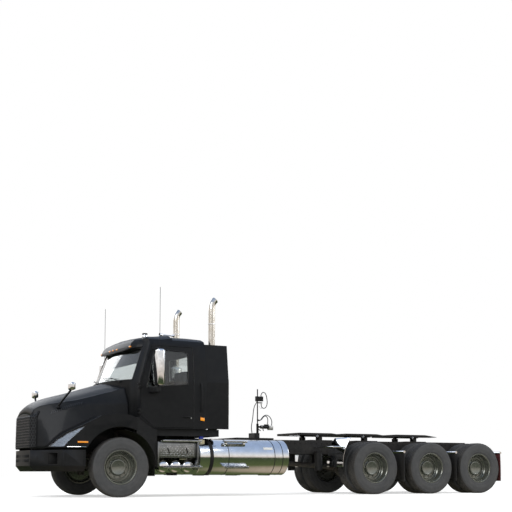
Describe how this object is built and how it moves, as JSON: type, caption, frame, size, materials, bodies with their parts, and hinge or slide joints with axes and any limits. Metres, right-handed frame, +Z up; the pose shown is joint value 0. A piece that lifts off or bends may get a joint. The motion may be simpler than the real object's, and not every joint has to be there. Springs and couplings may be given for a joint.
{
  "type": "semi truck tractor unit",
  "caption": "Day-cab conventional tractor with one steered axle, driven axles on twin wheels, tilting hood, fuel tanks, stacks and trailer coupling plates.",
  "frame": {"origin": "on the ground under the middle of the vehicle's bounding box", "axes": "+X forward, +Y to the driver's side, +Z up"},
  "size_m": [9.9699, 3.09, 3.7037],
  "materials": {
    "black_paint": "gloss",
    "chassis_black": "satin",
    "cast_grey": "rough",
    "plate_steel": "worn",
    "tyre_rubber": "matt",
    "polished_aluminium": "polished",
    "mirror_chrome": "polished",
    "tinted_glass": "clear tinted",
    "lamp_lens": "clear",
    "grille_black": "matt",
    "cab_trim": "matt",
    "stand_steel": "satin",
    "hose_rubber": "satin",
    "flap_rubber": "matt"
  },
  "bodies": {
    "chassis": {"air_tanks": "polished_aluminium", "bumper": "black_paint", "cab_glass": "tinted_glass", "cab_interior": "cab_trim", "cab_shell": "black_paint", "cab_underframe": "chassis_black", "coupling_seats": "chassis_black", "crossmembers": "chassis_black", "drive_axles": "chassis_black", "driveline": "chassis_black", "engine_block": "cast_grey", "exhaust_stacks": "mirror_chrome", "flap_bars": "mirror_chrome", "fog_lamps": "lamp_lens", "frame_rails": "chassis_black", "front_axle": "chassis_black", "fuel_tanks": "polished_aluminium", "hose_inner": "hose_rubber", "hose_outer": "hose_rubber", "hose_stand": "stand_steel", "hose_supply": "hose_rubber", "hose_upper": "hose_rubber", "mudflaps": "flap_rubber", "quarter_fenders": "mirror_chrome", "radiator": "chassis_black", "roof_visor": "black_paint", "side_panels": "black_paint", "suspension": "chassis_black", "tool_boxes": "polished_aluminium"},
    "hood": {"hood": "black_paint", "headlamps": "lamp_lens", "grille": "grille_black", "hood_mirrors": "mirror_chrome"},
    "door_left": {"door_left": "black_paint", "door_glass_left": "tinted_glass", "mirror_left": "mirror_chrome"},
    "door_right": {"door_right": "black_paint", "door_glass_right": "tinted_glass", "mirror_right": "mirror_chrome"},
    "knuckle_left": {"knuckle_left": "chassis_black"},
    "knuckle_right": {"knuckle_right": "chassis_black"},
    "front_wheel_left": {"tyre_front_left": "tyre_rubber", "rim_front_left": "polished_aluminium"},
    "front_wheel_right": {"tyre_front_right": "tyre_rubber", "rim_front_right": "polished_aluminium"},
    "drive_wheel_1_left": {"tyres_drive1_left": "tyre_rubber", "rims_drive1_left": "polished_aluminium"},
    "drive_wheel_1_right": {"tyres_drive1_right": "tyre_rubber", "rims_drive1_right": "polished_aluminium"},
    "coupling_plate_1": {"coupling_plate_1": "plate_steel"},
    "drive_wheel_2_left": {"tyres_drive2_left": "tyre_rubber", "rims_drive2_left": "polished_aluminium"},
    "drive_wheel_2_right": {"tyres_drive2_right": "tyre_rubber", "rims_drive2_right": "polished_aluminium"},
    "coupling_plate_2": {"coupling_plate_2": "plate_steel"},
    "drive_wheel_3_left": {"tyres_drive3_left": "tyre_rubber", "rims_drive3_left": "polished_aluminium"},
    "drive_wheel_3_right": {"tyres_drive3_right": "tyre_rubber", "rims_drive3_right": "polished_aluminium"},
    "coupling_plate_3": {"coupling_plate_3": "plate_steel"}
  },
  "joints": [
    {"name": "hood_hinge", "type": "hinge", "parent": "chassis", "child": "hood", "pos_m": [4.93, 0, 0.872], "axis": [0, 1, 0], "range_deg": [0, 70]},
    {"name": "door_left_hinge", "type": "hinge", "parent": "chassis", "child": "door_left", "pos_m": [3.238, 1.229, 1.725], "axis": [0, 0, 1], "range_deg": [-70, 0]},
    {"name": "door_right_hinge", "type": "hinge", "parent": "chassis", "child": "door_right", "pos_m": [3.238, -1.229, 1.725], "axis": [0, 0, 1], "range_deg": [0, 70]},
    {"name": "steer_left", "type": "hinge", "parent": "chassis", "child": "knuckle_left", "pos_m": [3.57, 0.88, 0.52], "axis": [0, 0, 1], "range_deg": [-35, 35]},
    {"name": "steer_right", "type": "hinge", "parent": "chassis", "child": "knuckle_right", "pos_m": [3.57, -0.88, 0.52], "axis": [0, 0, 1], "range_deg": [-35, 35]},
    {"name": "front_wheel_left_spin", "type": "hinge", "parent": "knuckle_left", "child": "front_wheel_left", "pos_m": [3.57, 1.1, 0.52], "axis": [0, 1, 0], "continuous": true},
    {"name": "front_wheel_right_spin", "type": "hinge", "parent": "knuckle_right", "child": "front_wheel_right", "pos_m": [3.57, -1.1, 0.52], "axis": [0, 1, 0], "continuous": true},
    {"name": "drive_wheel_1_left_spin", "type": "hinge", "parent": "chassis", "child": "drive_wheel_1_left", "pos_m": [-1.78, 0.88, 0.52], "axis": [0, 1, 0], "continuous": true},
    {"name": "drive_wheel_1_right_spin", "type": "hinge", "parent": "chassis", "child": "drive_wheel_1_right", "pos_m": [-1.78, -0.88, 0.52], "axis": [0, 1, 0], "continuous": true},
    {"name": "drive_wheel_2_left_spin", "type": "hinge", "parent": "chassis", "child": "drive_wheel_2_left", "pos_m": [-3.15, 0.88, 0.52], "axis": [0, 1, 0], "continuous": true},
    {"name": "drive_wheel_2_right_spin", "type": "hinge", "parent": "chassis", "child": "drive_wheel_2_right", "pos_m": [-3.15, -0.88, 0.52], "axis": [0, 1, 0], "continuous": true},
    {"name": "drive_wheel_3_left_spin", "type": "hinge", "parent": "chassis", "child": "drive_wheel_3_left", "pos_m": [-4.4, 0.88, 0.52], "axis": [0, 1, 0], "continuous": true},
    {"name": "drive_wheel_3_right_spin", "type": "hinge", "parent": "chassis", "child": "drive_wheel_3_right", "pos_m": [-4.4, -0.88, 0.52], "axis": [0, 1, 0], "continuous": true},
    {"name": "coupling_plate_1_tilt", "type": "hinge", "parent": "chassis", "child": "coupling_plate_1", "pos_m": [-0.98, 0, 1.125], "axis": [0, 1, 0], "range_deg": [-8, 8]},
    {"name": "coupling_plate_2_tilt", "type": "hinge", "parent": "chassis", "child": "coupling_plate_2", "pos_m": [-2.072, 0, 1.125], "axis": [0, 1, 0], "range_deg": [-8, 8]},
    {"name": "coupling_plate_3_tilt", "type": "hinge", "parent": "chassis", "child": "coupling_plate_3", "pos_m": [-3.32, 0, 1.125], "axis": [0, 1, 0], "range_deg": [-8, 8]}
  ],
  "couplings": [
    {"joint": "steer_right", "follows": "steer_left", "ratio": 1}
  ]
}
